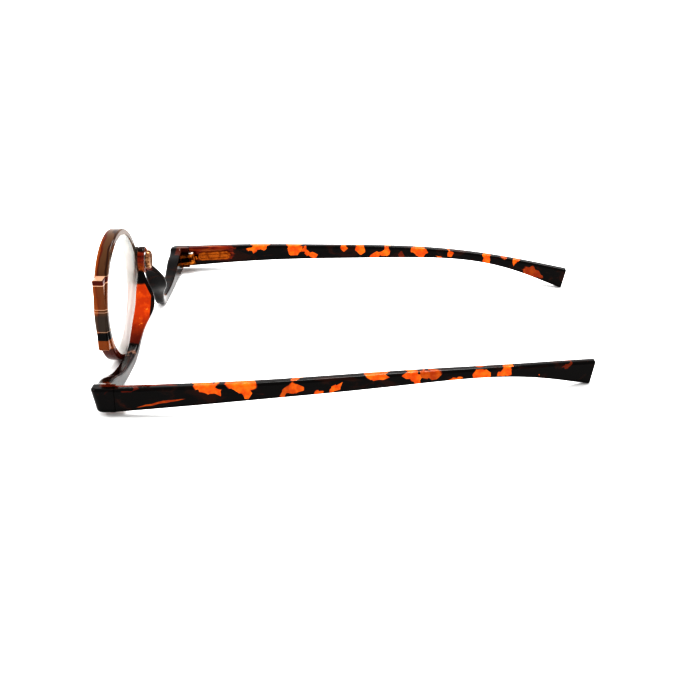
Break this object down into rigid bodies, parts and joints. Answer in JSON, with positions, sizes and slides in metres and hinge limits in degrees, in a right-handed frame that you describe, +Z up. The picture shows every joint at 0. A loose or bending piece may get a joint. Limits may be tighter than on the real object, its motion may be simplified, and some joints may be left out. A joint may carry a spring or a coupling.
{
  "type": "folding reading glasses with one swivel lens",
  "caption": "Tortoise plastic reading glasses with one round lens that swivels over the nose bridge, a low bar front and two sprung folding temples.",
  "frame": {"origin": "the middle of the object's footprint, on the surface that it rests on, temples open", "axes": "+X to the wearer's left, +Y back along the temples, +Z up"},
  "size_m": [0.138, 0.1514, 0.0419],
  "materials": {
    "tortoise_dark": "polished dark tortoiseshell acetate with amber patches",
    "tortoise_amber": "polished translucent brown and amber plastic",
    "lens_clear": "clear polished acrylic lens",
    "steel": "plain turned steel",
    "spring_steel": "drawn spring steel",
    "brass": "pale brass, lightly polished",
    "nylon": "dark brown nylon"
  },
  "bodies": {
    "front": {"front_frame": "tortoise_dark", "left_hinge_front_leaf": "brass", "right_hinge_front_leaf": "brass", "left_hinge_screw": "steel", "right_hinge_screw": "steel", "pivot_friction_washer": "nylon", "pivot_spring_washer": "spring_steel"},
    "lens_carrier": {"lens_rim": "tortoise_amber", "lens": "lens_clear", "pivot_insert": "brass", "pivot_screw": "steel"},
    "left_tenon": {"left_hinge_tenon": "brass", "left_spring_retainer": "steel", "left_hinge_spring": "spring_steel"},
    "left_temple": {"left_temple": "tortoise_dark", "left_spring_box": "brass", "left_anchor_wire": "steel"},
    "right_tenon": {"right_hinge_tenon": "brass", "right_spring_retainer": "steel", "right_hinge_spring": "spring_steel"},
    "right_temple": {"right_temple": "tortoise_dark", "right_spring_box": "brass", "right_anchor_wire": "steel"}
  },
  "joints": [
    {"name": "lens_swivel", "type": "hinge", "parent": "front", "child": "lens_carrier", "pos_m": [0, -0.06999, 0.02575], "axis": [0, -1, 0], "range_deg": [0, 205]},
    {"name": "left_temple_fold", "type": "hinge", "parent": "front", "child": "left_tenon", "pos_m": [0.0636, -0.06384, 0.0053], "axis": [0, -0.1219, 0.9925], "range_deg": [0, 86]},
    {"name": "left_spring_slide", "type": "slide", "parent": "left_tenon", "child": "left_temple", "axis": [0, 0.9986, 0.0523], "range_m": [0, 0.0012], "stiffness_N_per_m": 400, "springref_m": -0.002, "deforming": ["left_hinge_spring"]},
    {"name": "right_temple_fold", "type": "hinge", "parent": "front", "child": "right_tenon", "pos_m": [-0.0636, -0.06384, 0.0053], "axis": [0, 0.1219, -0.9925], "range_deg": [0, 81]},
    {"name": "right_spring_slide", "type": "slide", "parent": "right_tenon", "child": "right_temple", "axis": [0, 0.9986, 0.0523], "range_m": [0, 0.0012], "stiffness_N_per_m": 400, "springref_m": -0.002, "deforming": ["right_hinge_spring"]}
  ]
}
